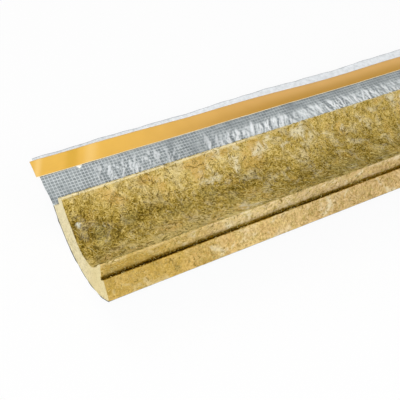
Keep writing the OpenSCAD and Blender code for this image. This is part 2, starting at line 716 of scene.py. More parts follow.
@dataclass(frozen=True)
class FoilFinish:
    """Aluminium laminate over a square scrim of glass threads."""

    start: float  # X of the wool's end
    arc: float  # Where the skin ends and the lap starts on the flat map
    mesh: float = 0.0053  # Distance from thread to thread
    thread: float = 0.00066  # Half the width over which a thread shows
    fold: Pair = (0.020, 0.0098)  # Length and width of the small folds
    cell: Colour = (0.168, 0.193, 0.198)  # Colour of the metal between the threads
    raised: Colour = (0.75, 0.79, 0.80)  # Colour over the threads, and of the painted light where it is high
    bright: Colour = (0.86, 0.885, 0.91)  # Colour of the painted highlights on the folds and of the painted reflection over the lap's margin
    shadow: Colour = (0.14, 0.162, 0.172)  # Colour of the painted shadow on the folds' other sides and where the painted light is low; it also darkens the lap's last millimetre
    glue: Colour = (0.10, 0.095, 0.085)  # Colour of the foil's rim past the wool's end, nearly black
    smear: Colour = (0.92, 0.92, 0.86)  # Colour of a smear of dry glue
    smear_at: Pair = (-0.4350, 0.0448)  # Its tip on the flat map, with the lap starting at zero
    smear_stop: float = 0.060  # How far out on the lap it ends

    def slopes(self, shader: Shader, flat: Number, along: Number) -> Number:
        """Which way small folds face, for their painted highlights and shadows: stretched noise less
        itself 3 mm further along.

        They slant out along the first half and run straight across further on.

        Args:
            shader: The material's shader.
            flat: The flat map's coordinates.
            along: The first of them.

        Returns:
            The slopes, around 0.
        """
        ways = []
        for angle in (1.05, 1.75):
            steps = (0.0, 0.003)
            here, there = (shader.streaks(flat, angle, self.fold, step, 2.0, 0.2) for step in steps)
            ways.append(here - there)
        later = along.smooth(-0.12, 0.02)
        return ways[0] * (1.0 - later) + ways[1] * later

    def material(self) -> bpy.types.Material:
        """The foil's material: metal with painted light and shade, folds, threads, margin and marks.

        Returns:
            The material.
        """
        shader = Shader("scrim_foil")
        flat = shader.flat_map()
        place = shader.place()
        along, across = (shader.axis(flat, i) for i in (0, 1))
        names = ("crumple", "loose", "level", "margin")
        crumple, loose, level, margin = (shader.stored(name) for name in names)
        slope = self.slopes(shader, flat, along)
        # Painted highlights and shadows: the lit and shaded sides of the small folds, and the creases'
        # crests and lee sides.
        glint = (slope.smooth(0.025, 0.09) * loose).highest(crumple.smooth(0.1, 0.8))
        fold_shadow = (slope.smooth(-0.02, -0.09) * loose).highest(crumple.smooth(-0.1, -0.7))
        dull = shader.noise(place, 0.007, 3.0, 0.6)
        # The threads: lines at even distances on a map that wobbles, fainter here and there.
        wobble = shader.wandering(flat, 0.012, 0.0012)
        lines = [
            shader.axis(wobble, i).math("PINGPONG", self.mesh / 2).smooth(self.thread, 0.0001)
            for i in (0, 1)
        ]
        faint = shader.noise(place, 0.025, 1.0).smooth(0.25, 0.65) * 0.6 + 0.4
        faint = faint * (1.0 - along.smooth(-0.28, -0.20) * 0.35)
        cross = lines[0] * (1.0 - along.smooth(-0.43, -0.33) * 0.35)
        grid = cross.highest(lines[1]) * faint * (1.0 - glint * 0.4)
        # The margin past the liner, paler with a painted reflection, the smear of glue and the rim that
        # hangs past the wool.
        later = along.smooth(-0.42, -0.2)
        margin_reflection = 0.66 + later * 0.14 + (dull - 0.5) * 0.7 - grid * (0.50 - later * 0.30)
        aside = (along + dull * 0.004 - self.smear_at[0]).math("ABSOLUTE")
        smear = ((across - self.arc - self.smear_at[1]) * 0.9 - aside).smooth(0.0, 0.0010)
        smear = smear * across.smooth(self.arc + self.smear_stop, self.arc + self.smear_stop - 0.004)
        rim = along.smooth(self.start + 0.0001, self.start - 0.0001)
        rim = rim * across.smooth(self.arc, self.arc - 0.001)
        colour = shader.painted(
            self.cell,
            ((dull - 0.25) * 0.7, self.raised),
            # Painted light and shade of the lap's bends and buckles.
            (level.smooth(0.0, 1.0) * 0.7, self.raised),
            (level.smooth(0.0, -1.0) * 0.7, self.shadow),
            # Painted shadow and painted highlight of the folds.
            (fold_shadow * 0.75, self.shadow),
            ((glint * 0.75).lowest(1.0), self.bright),
            (grid * 0.8, self.raised),
            # Painted reflection over the margin, with darker threads.
            (margin.lowest(1.0) * margin_reflection.lowest(1.0), self.bright),
            (margin.smooth(1.2, 2.0) * 0.45, self.shadow),
            (smear * 0.9, self.smear),
            (rim * 0.9, self.glue),
        )
        return shader.surface(
            (grid * 0.5 + dull * 0.4 + slope * loose * 6.0, 0.5 * MM, 0.8),
            Base_Color=colour,
            Roughness=0.34 + dull * 0.2 + margin.lowest(1.0) * 0.25,
            Metallic=(0.8 - glint * 0.45 - margin.lowest(1.0) * 0.6).highest(0.05),
        )


@dataclass(frozen=True)
class LinerFinish:
    """Silicone-coated paper, yellow orange, with a pale cut edge along its inner side."""

    start: float  # X of the wool's end that its tab hangs past
    paper: Colour = (0.80, 0.468, 0.072)  # Colour at that end
    aged: Colour = (0.655, 0.368, 0.096)  # Colour towards the other end, darker
    deep: Colour = (0.44, 0.225, 0.012)  # Colour of the painted shade on its lower side towards the other end; also of its faint darker clouds
    amber: Colour = (0.62, 0.345, 0.018)  # Colour of the painted shade where it sinks between bulges
    glint: Colour = (0.94, 0.66, 0.26)  # Colour of the painted highlight where it bulges
    cut_edge: Colour = (0.93, 0.86, 0.66)  # Colour of the cut edge

    def material(self) -> bpy.types.Material:
        """The liner's material.

        Returns:
            The material.
        """
        shader = Shader("liner_paper")
        flat = shader.flat_map()
        place = shader.place()
        along, across = (shader.axis(flat, i) for i in (0, 1))
        clouds = shader.noise(place, 0.035)
        wave = shader.stored("wave")
        # Painted shade: darker on the lower side, more so towards the other end.
        low = across.smooth(0.024, 0.002) * (0.08 + along.smooth(-0.36, -0.02) * 0.85)
        colour = shader.painted(
            self.paper,
            (along.smooth(self.start + 0.03, self.start + 0.42), self.aged),
            (low, self.deep),
            (clouds.smooth(0.40, 0.70) * 0.10, self.deep),
            # Painted highlight on the bulges and painted shade in the trough.
            (wave.smooth(0.0, 1.2) * 0.6, self.glint),
            (wave.smooth(0.0, -1.0) * 0.65, self.amber),
            (across.smooth(1.1 * MM, 0.6 * MM) * 0.9, self.cut_edge),
        )
        grain = (shader.noise(place, 0.0009, 1.0), 0.04 * MM, 0.4)
        return shader.surface(grain, Base_Color=colour, Roughness=0.36 + clouds * 0.1)


@dataclass(frozen=True)
class AdhesiveFinish:
    """A clear pale film of glue, glossy and faintly uneven."""

    film: Colour = (0.82, 0.78, 0.60)
    milky: Colour = (0.88, 0.86, 0.76)

    def material(self) -> bpy.types.Material:
        """The band's material.

        Returns:
            The material.
        """
        shader = Shader("adhesive")
        uneven = shader.noise(shader.place(), 0.006)
        colour = shader.painted(self.film, (uneven * 0.4, self.milky))
        return shader.surface((uneven, 0.1 * MM, 0.4), Base_Color=colour, Roughness=0.3)


# --------------------------------------------------------------------------- the cross section


@dataclass(frozen=True)
class Ring:
    """The segment's cross section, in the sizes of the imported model, and where it lies."""

    centre_y: float = 0.0  # Where the pipe's centre lies
    centre_z: float = 0.0  # How high it lies
    start: float = 0.0  # X of the wool's end that the pull tab hangs past
    stop: float = 0.0  # X of its other end
    bore_r: float = 0.080  # Radius of the bore
    wool_r: float = 0.130  # Radius of the wool's back
    foil_r: float = 0.13052  # Radius of the foil's outer face
    # Angle of the ring's end at the stepped near edge, from straight down
    near: float = math.radians(-47.5)
    far: float = math.radians(42.5)  # Angle of the ring's end at the tongue, which the lap leaves
    inner_strip: float = 0.018  # Depth of the inner strip of both edges
    corner_lead: float = 0.011  # How far the near bore corner stands out
    groove_cut: float = 0.003  # How far the groove is cut in
    groove_w: float = 0.002  # How wide it is
    shoulder_lead: float = 0.004  # How far the near edge's shoulder stands out
    tongue: float = 0.010  # How far the tongue of the far edge stands out
    tongue_draft: float = 0.0015  # How much thinner the tongue is at its tip

    @classmethod
    def from_frame(cls) -> "Ring":
        """The ring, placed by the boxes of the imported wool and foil.

        Returns:
            The ring.
        """
        low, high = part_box("wool_segment")
        still = cls()
        reach = min(still.near_line()[:, 0].min(), still.at(still.foil_r, still.near)[0])
        foil_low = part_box("foil_facing")[0]
        return cls(foil_low.y - reach, foil_low.z + still.foil_r, low.x, high.x)

    @property
    def step_r(self) -> float:
        """Radius at which the inner strips end."""
        return self.bore_r + self.inner_strip

    @property
    def arc(self) -> float:
        """Length of the foil round the wool's back."""
        return (self.far - self.near) * self.foil_r

    @property
    def tip_r(self) -> float:
        """Radius at which the tongue's end meets the bore, along the ring's end."""
        return math.sqrt(self.bore_r**2 - self.tongue**2)

    def along(self, steps: int, tab: float = 0.0) -> Array:
        """X of each column: even steps from the near end, or a tab past it, to the other end."""
        return np.linspace(self.start - tab, self.stop, steps + 1)

    def at(self, r: float | Array, angle: float | Array, t: float | Array = 0.0) -> Array:
        """Points of the profile.

        Args:
            r: How far out from the centre.
            angle: At which angle.
            t: How far on along the ring from there.

        Returns:
            Y and Z, shape (..., 2).
        """
        y = r * np.sin(angle) + t * np.cos(angle) + self.centre_y
        z = t * np.sin(angle) - r * np.cos(angle) + self.centre_z
        return stacked(y, z)

    def near_line(self) -> Array:
        """The near edge's corners from the bore to the back: strip, groove, shoulder, strip.

        The first lies where the strip's line, from its leading corner to the groove, meets the
        bore: the share of the way at which a quadratic in it is 0.

        Returns:
            Y and Z, shape (5, 2).
        """
        rise = self.corner_lead + self.groove_cut
        a = self.inner_strip**2 + rise**2
        b = 2.0 * (self.bore_r * self.inner_strip - self.corner_lead * rise)
        share = (-b + math.sqrt(b * b - 4.0 * a * self.corner_lead**2)) / (2.0 * a)
        wall = self.step_r + self.groove_w
        r = [self.bore_r + share * self.inner_strip, self.step_r, wall, wall, self.wool_r]
        cut = self.groove_cut
        t = [share * rise - self.corner_lead, cut, cut, -self.shoulder_lead, 0.0]
        return self.at(np.array(r), self.near, np.array(t))

    def far_line(self) -> Array:
        """The far edge's corners from the bore to the back: tongue, step, strip."""
        r = np.array([self.tip_r, self.step_r - self.tongue_draft, self.step_r, self.wool_r])
        return self.at(r, self.far, np.array([self.tongue, self.tongue, 0.0, 0.0]))

    def polar(self, points: Array) -> tuple[Array, Array]:
        """The angle, from straight down, and the radius at which points with Y and Z last lie."""
        y, z = points[..., -2] - self.centre_y, self.centre_z - points[..., -1]
        return np.arctan2(y, z), np.hypot(y, z)

    def outwards(self, points: Array, depth: Array) -> Array:
        """Points moved straight out from the pipe's centre line.

        Args:
            points: Shape (..., 3).
            depth: How far each moves, shape (...).

        Returns:
            The moved points.
        """
        y, z = points[..., 1] - self.centre_y, self.centre_z - points[..., 2]
        radius = np.hypot(y, z)
        return points + stacked(0.0, depth * y / radius, -depth * z / radius)

    def on_near_edge(self, points: Array) -> tuple[Array, Array]:
        """Where points lie as seen from the ring's end at the near edge.

        Args:
            points: Shape (..., 3).

        Returns:
            How far out from the centre line they lie along it, and how far past it.
        """
        y, z = points[..., 1] - self.centre_y, points[..., 2] - self.centre_z
        sine, cosine = math.sin(self.near), math.cos(self.near)
        return y * sine - z * cosine, y * cosine + z * sine


def stepped(line: Array, cells: Sequence[int]) -> Array:
    """Points along a cornered line, each stretch in its own number of equal steps.

    Args:
        line: The corners, shape (n, 2).
        cells: Steps in each stretch.

    Returns:
        Points, shape (sum of steps + 1, 2), every corner among them.
    """
    knots = np.cumsum([0, *cells])
    share = np.arange(knots[-1] + 1)
    return np.stack([np.interp(share, knots, line[:, i]) for i in (0, 1)], axis=1)


def run_of(line: Array) -> Array:
    """The distance along a line up to each of its points."""
    return np.concatenate([[0.0], np.cumsum(np.linalg.norm(np.diff(line, axis=0), axis=1))])


# --------------------------------------------------------------------------- the wool


@dataclass
class WoolSegment:
    """The wool body: six grids and two fans, welded into one closed shell and roughened."""

    ring: Ring
    columns: int = 570  # Steps along the length
    bore_rows: int = 84  # Steps round the bore
    near_cells: tuple[int, ...] = (13, 2, 4, 17)  # Steps on each stretch of the near edge
    # Steps on each stretch of the far edge; they sum to the same
    far_cells: tuple[int, ...] = (9, 6, 21)
    back_columns: int = 15  # Steps along the length of the back, which the foil hides
    gap: float = 0.01  # What lies between the bore and the long edges on the flat map
    back_v: float = 0.6  # Where the back starts on the flat map
    end_u: float = 0.4  # How far the ends are moved along it

    def lines(self) -> tuple[Array, Array, Array, Array]:
        """The section's four sides.

        Returns:
            Near and far edge from the bore out, then bore and back from near to far.
        """
        ring = self.ring
        near = stepped(ring.near_line(), self.near_cells)
        far = stepped(ring.far_line(), self.far_cells)
        share = np.linspace(0.0, 1.0, self.bore_rows + 1)
        first, last = (ring.polar(line[0])[0] for line in (near, far))
        bore = ring.at(ring.bore_r, first + (last - first) * share)
        back = ring.at(ring.wool_r, ring.near + (ring.far - ring.near) * share)
        bore[0], bore[-1], back[0], back[-1] = near[0], far[0], near[-1], far[-1]
        return near, far, bore, back

    def swept(self, line: Array, run: Array, cut: Cut, turned: bool, each: int = 1) -> Shell:
        """A line of the section carried along the length: point (i, j) is line[i] at X j.

        Args:
            line: Shape (rows, 2).
            run: Where each of its points lies across the flat map.
            cut: How the patch was made.
            turned: Faces the other way.
            each: Takes one column out of so many.

        Returns:
            The patch.
        """
        x = self.ring.along(self.columns)[::each]
        points = stacked(x, line[:, :1], line[:, 1:])
        return Shell.grid(points, stacked(x, run[:, None]), turned, cut)

    def end_patch(self, x: float, turned: bool) -> Shell:
        """An end of the wool, filled between its four sides.

        A point is what the near and far edge give for its share across, plus what the bore and
        back give for its share out, less the straight blend of the four corners.

        Args:
            x: Where the end lies.
            turned: Faces the other way.

        Returns:
            The patch.
        """
        near, far, bore, back = self.lines()
        s = np.linspace(0.0, 1.0, len(bore))[None, :, None]
        t = np.linspace(0.0, 1.0, len(near))[:, None, None]
        sides = (1 - s) * near[:, None] + s * far[:, None] + (1 - t) * bore[None] + t * back[None]
        corners = (1 - s) * ((1 - t) * near[0] + t * near[-1])
        corners = corners + s * ((1 - t) * far[0] + t * far[-1])
        section = sides - corners
        section[0], section[-1], section[:, 0], section[:, -1] = bore, back, near, far
        points = stacked(x, section[..., 0], section[..., 1])
        return Shell.grid(points, section + np.array([self.end_u + x, 0.0]), turned, Cut.END)

    def back_patches(self) -> list[Shell]:
        """The back in long steps, with a fan of triangles along each side to the fine columns.

        Returns:
            The patches.
        """
        *_, back = self.lines()
        x = self.ring.along(self.columns)
        each = self.columns // self.back_columns
        made = [self.swept(back[1:-1], run_of(back)[1:-1] + self.back_v, Cut.BACK, True, each)]
        fine, steps = np.arange(self.columns), np.arange(self.back_columns)
        coarse = steps + len(x)
        fans = np.stack([fine, fine + 1, (fine + each // 2) // each + len(x)], axis=1)
        gaps = np.stack([coarse + 1, coarse, steps * each + each - each // 2], axis=1)
        faces = np.concatenate([fans, gaps])
        for side, row, way in ((back[0], back[1], -1), (back[-1], back[-2], 1)):
            points = np.concatenate([stacked(x, *side), stacked(x[::each], *row)])
            flat = stacked(points[:, 0], self.back_v)
            made.append(Shell.of(points, flat, faces[:, ::way], cut=Cut.BACK))
        return made

    def patches(self) -> list[Shell]:
        """All the wool's surface.

        Returns:
            The patches: the bore, the long edges, the ends and the back.
        """
        near, far, bore, _ = self.lines()
        bore_run, near_run, far_run = run_of(bore), run_of(near), run_of(far)
        return [
            self.swept(bore, bore_run, Cut.PLAIN, False),
            self.swept(near, near_run + (-near_run[-1] - self.gap), Cut.LONG_EDGE, True),
            self.swept(far, far_run + (bore_run[-1] + self.gap), Cut.LONG_EDGE, False),
            self.end_patch(self.ring.start, False),
            self.end_patch(self.ring.stop, True),
            *self.back_patches(),
        ]

    def relief(self, points: Array) -> Array:
        """How far each point of the wool stands out.

        Three sizes of noise: dents of 22 mm, clumps of 8 mm and tufts of 3.6 mm. It fades to
        nothing on the back, and to 0.3 of itself on the sawn ends.

        Args:
            points: Shape (n, 3).

        Returns:
            Heights in metres, shape (n,).
        """
        ring = self.ring
        height = 0.35 * MM * blobs(points, 0.022, 11) + 0.35 * MM * blobs(points, 0.008, 21, 3)
        height += 0.55 * MM * blobs(points, 0.0036, 31, 2)
        from_back = smoothstep(ring.wool_r, ring.wool_r - 0.003, ring.polar(points)[1])
        from_end = np.minimum(points[:, 0] - ring.start, ring.stop - points[:, 0])
        return height * from_back * (0.3 + 0.7 * smoothstep(0.0, 0.002, from_end))

    def hollow(self, points: Array) -> Array:
        """How much painted shade and shadow the groove gets, by how deep in it points lie.

        It is 0.96 on the shoulder's wall and 0.74 on the groove's floor. On the inner strip it
        is 0.46 times a hill of 2.2 mm, and over the outer strip's rounded edge it falls to 0 in
        1.2 mm. It drifts a little along the length.

        Args:
            points: Shape (n, 3).

        Returns:
            Numbers from 0 to 1, shape (n,).
        """
        ring = self.ring
        out, ahead = ring.on_near_edge(points)
        x, step, wall = points[:, 0], ring.step_r, ring.step_r + ring.groove_w
        strip = 0.46 * hill(step, 0.0022, out)
        edge = 0.60 * np.clip(1.0 - (out - wall) / 0.0012, 0.0, 1.0)
        floor = 0.96 - 0.22 * smoothstep(0.001, 0.0035, ahead) * (out < wall - 0.0003)
        deep = np.where(out < step - 0.0002, strip, np.where(out < wall + 0.0003, floor, edge))
        drift = 1.0 - 0.17 * smoothstep(-0.36, -0.24, x) - 0.16 * blobs(points, 0.03, 95)
        drift = drift - 0.11 * hill(-0.278, 0.038, x)
        return np.where(ahead < 0.006, deep, 0.0) * np.clip(drift, 0.0, 1.0)

    def lip(self, points: Array) -> Array:
        """How much paler the wool is painted near its corners: a painted highlight.

        It is about 1 along the bore corner of the near edge and along the tongue's, gone in 2
        to 6 mm. The strip between that corner and the groove has about 0.4 of it around
        x = -0.26.

        Args:
            points: Shape (n, 3).

        Returns:
            Numbers, shape (n,).
        """
        ring = self.ring
        out, ahead = ring.on_near_edge(points)
        on_strip = (ahead < 0.002) * (ring.polar(points)[1] > ring.bore_r + 0.0005)
        near = smoothstep(ring.bore_r + 0.006, ring.bore_r, out) * on_strip
        tip = ring.at(ring.tip_r, ring.far, ring.tongue)
        away = np.hypot(points[:, 1] - tip[0], points[:, 2] - tip[1])
        far = 1.6 * smoothstep(0.0030, 0.0012, away) * smoothstep(-0.12, -0.24, points[:, 0])
        pale = 0.40 * ((out < ring.step_r - 0.001) * on_strip) * hill(-0.255, 0.085, points[:, 0])
        return np.maximum(near * (0.45 + 0.5 * blobs(points, 0.012, 97)), np.maximum(far, pale))

    def shade(self, points: Array) -> Array:
        """How much lighter or darker the wool is painted, from about -1 to 1: painted light and shade.

        Tables over the angle say how the bore shades from the near edge to the tongue, at first,
        around x = -0.265 and further along; a table over X does the same for the near edge.

        Args:
            points: Shape (n, 3).

        Returns:
            Numbers, shape (n,).
        """
        ring = self.ring
        x = points[:, 0]
        angle, radius = ring.polar(points)
        angle = np.degrees(angle)
        first, middle, later = (
            np.interp(angle, [-50, -36, -20, -4, 6, 20, 36, 46], levels)
            for levels in (
                [1.2, 1.1, 0.27, -0.24, -0.48, 0.0, 0.63, 0.62],
                [0.1, -0.25, -0.45, -0.3, 0.12, 0.50, 0.38, 0.0],
                [0.1, -0.45, -0.36, -0.2, 0.0, 0.05, 0.36, 0.48],
            )
        )
        level = first + (later - first) * smoothstep(-0.26, -0.10, x)
        level = level + middle * hill(-0.265, 0.07, x)
        level = level - 0.55 * smoothstep(-0.42, -0.46, x) * smoothstep(0, 16, angle)
        level = level + 0.14 * blobs(points, (0.16, 0.05, 0.05), 91)
        inside = smoothstep(ring.bore_r + 0.004, ring.bore_r + 0.001, radius)
        spots, levels = [-0.50, -0.42, -0.34, -0.26, -0.18, -0.08], [-0.4, -0.1, 0.4, 1.0, 0.6, 0.15]
        edge = np.interp(x, spots, levels)
        return level * inside + edge * (1.0 - inside) * (ring.on_near_edge(points)[1] < 0.004)

    def pressed(self, points: Array) -> Array:
        """Points moved outwards where the bore is pressed in at the end that the tab hangs from.

        The depth is a table over the angle, fades over 0.12 m along the segment, dies out in
        the wall and leaves the lip of the near edge alone.

        Args:
            points: Shape (..., 3).

        Returns:
            The moved points.
        """
        ring = self.ring
        angle, radius = ring.polar(points)
        angles, depths = [-50, -28, -22, -8, 6, 14, 20], [0.0, 0.011, 0.013, 0.012, 0.007, 0.001, 0.0]
        depth = np.interp(np.degrees(angle), angles, depths)
        depth = depth * (1.0 - smoothstep(ring.bore_r, ring.bore_r + 0.045, radius))
        depth = depth * (1.0 - smoothstep(0.0, 0.12, points[..., 0] - ring.start))
        return ring.outwards(points, depth * smoothstep(-0.009, 0.010, ring.on_near_edge(points)[1]))

    def bake_places(self, shell: Shell) -> Array:
        """The baked map: the sides unrolled side by side, the ends and the back above them.

        Args:
            shell: The welded wool.

        Returns:
            The place of each face corner, from 0 to 1.
        """
        ring = self.ring
        places = []
        for corners, cut in zip(shell.corners, shell.cuts):
            flat = corners.reshape(-1, 2)
            along = (flat[:, 0] - ring.start) / (ring.stop - ring.start)
            if cut is Cut.END:
                low, high = flat.min(0), flat.max(0)
                first = 0.02 if len(places) == 3 else 0.52
                place = (flat - low) / (high - low) * np.array([0.44, 0.13]) + np.array([first, 0.845])
            elif cut is Cut.BACK:
                place = stacked(along, 0.985 + (flat[:, 1] - self.back_v) * 0.06)
            else:
                place = stacked(along, (flat[:, 1] + 0.08) / 0.36)
            places.append(0.004 + 0.992 * place)
        return np.concatenate(places)

    def build(self) -> bpy.types.Object:
        """Builds the wool, roughens it and stores what its colours follow.

        Returns:
            The piece.
        """
        shell = Shell.welded(self.patches())
        numbers = {rule.__name__: rule(shell.points) for rule in (self.hollow, self.shade, self.lip)}
        # Only the sawn ends face along X: they are sunk in where the rest stands out.
        out = shell.normals() * np.array([-1.0, 1.0, 1.0])
        shell.points = self.pressed(shell.points + out * self.relief(shell.points)[:, None])
        dress = Dress(WoolFinish().material(), "mineral_wool", "wool_segment", sharp=55.0)
        return make_piece("wool_body", shell, self.bake_places(shell), numbers, dress)


class Lie(Enum):
    """Which way loose fibres lie on the wool."""

    ANY = "any"
    ACROSS = "across"


@dataclass
class FibreLayer:
    """Loose fibres on a stretch of the wool's surface, each a bent tapering tube."""

    name: str
    wool: WoolSegment  # The wool that they lie on
    count: int
    seed: int  # Seed of their random numbers
    spans: Sequence[Pair]  # Stretches of the section's line on which they lie, in metres along it
    length: Pair = (0.006, 0.014)  # Shortest and longest fibre
    radius: Pair = (0.00028, 0.00060)  # Thinnest and thickest
    lift: Pair = (0.0001, 0.0009)  # Lowest and highest place of a fibre's middle over the wool
    sunk: float = 0.0004  # How deep its tips lie in the wool
    lie: Lie = Lie.ANY  # Which way they lie
    tone: Pair = (0.0, 1.0)  # Lowest and highest tone, from dark to pale
    rings: int = 5  # Points along a fibre
    sides: int = 3  # Points round it

    def line(self) -> tuple[Array, Array, Array]:
        """The section's line from the near edge's back over the bore to the far edge's back.

        Returns:
            The distance along it, its points and its outward normals.
        """
        near, far, bore, _ = self.wool.lines()
        line = np.concatenate([near[::-1], bore[1:-1], far])
        run = run_of(line)
        tangent = np.gradient(line, run, axis=0)
        return run, line, unit(stacked(-tangent[:, 1], tangent[:, 0]))

    def shell(self) -> tuple[Shell, Array]:
        """All the fibres' tubes.

        A fibre starts at a random place on the flat map and runs at an angle that turns
        steadily along it. Its middle stands over the wool by the lift, times the sine of half a
        turn along it, and its radius shrinks to 0.15 of itself at both tips.

        Returns:
            The shell, and the tone of each of its points.
        """
        random = np.random.default_rng(self.seed)
        n, k, m = self.count, self.rings, self.sides
        start, stop = self.wool.ring.start, self.wool.ring.stop
        lows, highs = np.array(self.spans).T
        widths = highs - lows
        pick = random.choice(len(widths), n, p=widths / widths.sum())
        s0 = lows[pick] + random.uniform(0, 1, n) * widths[pick]
        x0 = random.uniform(start + 0.004, stop - 0.004, n)
        long, wide, lift = (random.uniform(*ends, n) for ends in (self.length, self.radius, self.lift))
        heading = random.uniform(0, 2 * math.pi, n)
        if self.lie is Lie.ACROSS:
            heading = random.normal(math.pi / 2, 0.35, n)
        turn = random.normal(0, 1.1, n)
        # The middle lines: from the flat map onto the section's line, and up from it.
        t = np.linspace(0, 1, k)
        angle = heading[:, None] + turn[:, None] * (t - 0.5)
        step = long[:, None] / (k - 1)
        x = x0[:, None] + np.cumsum(np.cos(angle) * step, axis=1)
        x = np.clip(x, start + 0.0002, stop - 0.0002)
        s = s0[:, None] + np.cumsum(np.sin(angle) * step, axis=1)
        run, *tables = self.line()
        base, out = (stacked(*(np.interp(s, run, column) for column in table.T)) for table in tables)
        arch = np.sin(math.pi * t)
        base = base + out * (lift[:, None] * arch - self.sunk * (1 - arch))[..., None]
        middle = stacked(x, base[..., 0], base[..., 1])
        # The tubes: rings round the middle lines, joined by faces and capped.
        ahead = unit(np.gradient(middle, axis=1))
        aside = unit(np.cross(ahead, stacked(0.0, out[..., 0], out[..., 1])))
        above = np.cross(aside, ahead)
        taper = wide[:, None] * (0.15 + 0.85 * np.sqrt(np.clip(1 - (2 * t - 1) ** 2, 0, 1)))
        turns = (2 * math.pi * np.arange(m) / m + math.pi / 2)[:, None]
        circle = np.cos(turns) * aside[:, :, None] + np.sin(turns) * above[:, :, None]
        points = (middle[:, :, None] + taper[:, :, None, None] * circle).reshape(-1, 3)
        one = np.arange(k * m).reshape(k, m)
        after = np.roll(one, -1, axis=1)
        walls = np.stack([one[:-1], one[1:], after[1:], after[:-1]], axis=-1).reshape(-1, 4)
        caps = np.array([one[0], one[-1][::-1]])
        first = np.arange(n)[:, None, None] * k * m
        faces = [(part + first).reshape(-1, part.shape[1]) for part in (walls, caps)]
        tone = np.where(random.uniform(0, 1, n) < 0.25, 0.15, random.normal(0.66, 0.2, n)).clip(0, 1)
        low, high = self.tone
        tones = np.repeat(low + (high - low) * tone, k * m)
        # On the flat map each fibre is a speck, with its tone along it and a random place across.
        spot = np.repeat(random.uniform(0.02, 0.98, n), k * m)
        speck = np.tile(np.arange(k * m) / (k * m), n) * 0.01
        flat = stacked(tones * 0.96 + 0.02 + speck, spot + speck[::-1] * 0.5)
        return Shell.of(self.wool.pressed(points), flat, *faces), tones

    def build(self) -> bpy.types.Object:
        """Builds the fibres as one piece.

        Returns:
            The piece.
        """
        shell, tones = self.shell()
        dress = Dress(FibreFinish().material(), "mineral_wool")
        return make_piece(self.name, shell, shell.corner_places(), {"tone": tones}, dress)


# --------------------------------------------------------------------------- foil, band and liner


@dataclass
class Lap:
    """The closing lap: a sheet that leaves the ring's tangent, bends back and runs on.

    Its slope is a function of the distance w out from the far corner and of X. The lap's curve
    is the running sum of that slope's cosine and sine, so its width is never stretched.
    """

    ring: Ring  # The cross section that it leaves
    # Folds pressed into it, a row each: X where it meets the wool, how far it runs along X for
    # each metre out, where out from the wool it starts and has died away, half its width, and
    # its height
    creases: Array
    bend: float = 0.010  # Radius at which it bends back
    inner_slope: float = math.radians(8.8)  # Slope of its inner half
    near_slope: float = math.radians(23.1)  # Slope of its outer half at the near end
    far_slope: float = math.radians(5.9)  # Slope of its outer half further on
    tip_turn: float = math.radians(-9.8)  # How much its edge turns back down at the near end
    dense: int = 400  # Steps of the running sum
    reach: float = 0.1  # How far out the sum goes

    def free_edge(self, x: Array) -> Array:
        """Width of the lap at X: it is trimmed a little narrower at the near end."""
        wave = 0.0004 * np.sin(x * 61.0) + 0.0003 * np.sin(x * 143.0 + 1.0)
        return np.interp(x, [-0.49, -0.30, -0.10, 0.02], [0.0836, 0.0842, 0.0878, 0.0914]) + wave

    def band_start(self, x: Array) -> Array:
        """Where the liner starts out on the lap: 3.7 mm less after 0.6 m, for it lies askew."""
        return 0.0512 - 0.0037 * np.clip((x - self.ring.start) / 0.6, 0.0, 1.0)

    def slope(self, x: Array, w: Array) -> Array:
        """The lap's slope.

        Args:
            x: Shape (columns,).
            w: Shape (steps,).

        Returns:
            Angles, shape (columns, steps).
        """
        start = self.ring.start
        x, w = x[:, None], w[None, :]
        outer = self.near_slope + (self.far_slope - self.near_slope) * smoothstep(start, 0.119, x)
        base = np.maximum(self.ring.far - w / self.bend, self.inner_slope)
        tip = self.tip_turn * (1.0 - smoothstep(start, start + 0.147, x))
        along = base + (outer - self.inner_slope) * smoothstep(0.0454, 0.0604, w)
        along = along + tip * smoothstep(0.060, 0.068, w)
        wave = 0.05 * np.sin(2 * math.pi * (x - start) / 0.31) * smoothstep(0.02, 0.06, w)
        return along + wave * smoothstep(start + 0.1, start + 0.3, x)

    def crease_height(self, x: Array, w: Array) -> Array:
        """How high the creases stand: for each, a tent across it times its rise and fall.

        Args:
            x: Shape (rows, columns).
            w: Shape (rows, columns).

        Returns:
            Heights, shape (rows, columns).
        """
        middle, slant, start, stop, width, height = self.creases.T[:, :, None, None]
        share = np.clip((w - start) / (stop - start), 0.0, 1.0)
        inside = np.sin(math.pi * np.sqrt(share)) ** 0.8
        away = np.abs(x - middle - slant * w) / (width * (0.5 + share))
        return (height * inside * np.clip(1.0 - away, 0.0, 1.0)).sum(axis=0)

    def points(self, x: Array, w: Array, lift: float = 0.0, creased: float = 1.0) -> Array:
        """Points on the lap's upper face.

        Args:
            x: Shape (columns,).
            w: Distance out from the far corner, shape (rows, columns).
            lift: How far over the face.
            creased: How much of the creases shows.

        Returns:
            Points, shape (rows, columns, 3).
        """
        ladder = np.linspace(0.0, self.reach, self.dense + 1)
        slope = self.slope(x, ladder)
        step = ladder[1]
        middle = (slope[:, 1:] + slope[:, :-1]) / 2
        sums = (np.cumsum(way(middle) * step, axis=1) for way in (np.cos, np.sin))
        runs = (np.pad(total, ((0, 0), (1, 0))) for total in sums)
        place = np.clip(w / step, 0, self.dense - 1e-6)
        low = place.astype(int)
        share = place - low
        column = np.broadcast_to(np.arange(len(x)), w.shape)
        angle, y, z = (
            table[column, low] * (1 - share) + table[column, low + 1] * share
            for table in (slope, *runs)
        )
        corner = self.ring.at(self.ring.foil_r, self.ring.far)
        up = lift + creased * self.crease_height(np.broadcast_to(x, w.shape), w)
        return stacked(x, corner[0] + y - np.sin(angle) * up, corner[1] + z + np.cos(angle) * up)


